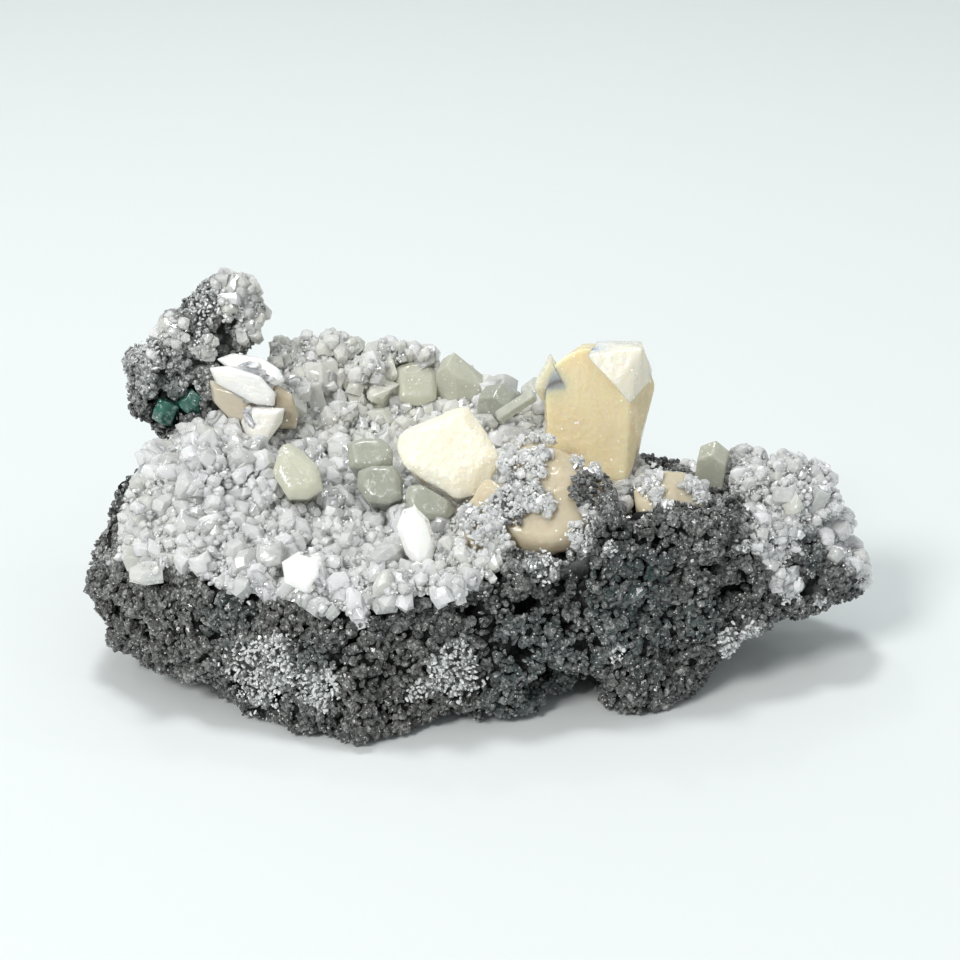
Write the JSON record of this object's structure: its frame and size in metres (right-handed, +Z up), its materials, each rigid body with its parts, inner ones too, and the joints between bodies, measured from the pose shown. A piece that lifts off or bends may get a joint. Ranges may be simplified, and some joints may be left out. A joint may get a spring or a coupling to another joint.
{
  "type": "apophyllite with stilbite",
  "caption": "Mineral specimen: a tan stilbite prism and cream blades among glassy apophyllite crystals in a hollow of knobbly dark rock, resting on its flat underside",
  "frame": {"origin": "on the resting plane, below the middle of the specimen's box", "axes": "+X along the specimen's long axis, from the horn of bare rock to the narrow end; +Y from the low front rim to the high back rim; +Z up"},
  "size_m": [0.1186, 0.0696, 0.0532],
  "materials": {
    "dark_rock": "dull, knobbly, with glassy specks",
    "druse": "vitreous, translucent, sparkling",
    "tan_stilbite": "pearly to vitreous, translucent",
    "cream_stilbite": "pearly, sugary",
    "peach_stilbite": "vitreous, translucent",
    "grey_apophyllite": "vitreous, translucent",
    "green_apophyllite": "vitreous"
  },
  "bodies": {
    "root": {"apophyllite_back_table": "grey_apophyllite", "apophyllite_druse": "druse", "apophyllite_front_table": "grey_apophyllite", "apophyllite_low_table": "grey_apophyllite", "apophyllite_point": "grey_apophyllite", "apophyllite_rim_dome": "grey_apophyllite", "apophyllite_rim_point": "grey_apophyllite", "apophyllite_rim_prism": "grey_apophyllite", "apophyllite_rim_slab": "grey_apophyllite", "apophyllite_rod": "grey_apophyllite", "apophyllite_wedge": "grey_apophyllite", "glassy_cluster": "druse", "green_apophyllite_lower": "green_apophyllite", "green_apophyllite_side": "green_apophyllite", "green_apophyllite_upper": "green_apophyllite", "rock": "dark_rock", "stilbite_block": "cream_stilbite", "stilbite_dome": "peach_stilbite", "stilbite_fan": "cream_stilbite", "stilbite_prism": "tan_stilbite", "stilbite_shard": "cream_stilbite", "stilbite_sheaf": "cream_stilbite", "stilbite_shoulder": "peach_stilbite", "stilbite_tuft": "cream_stilbite"}
  },
  "joints": []
}
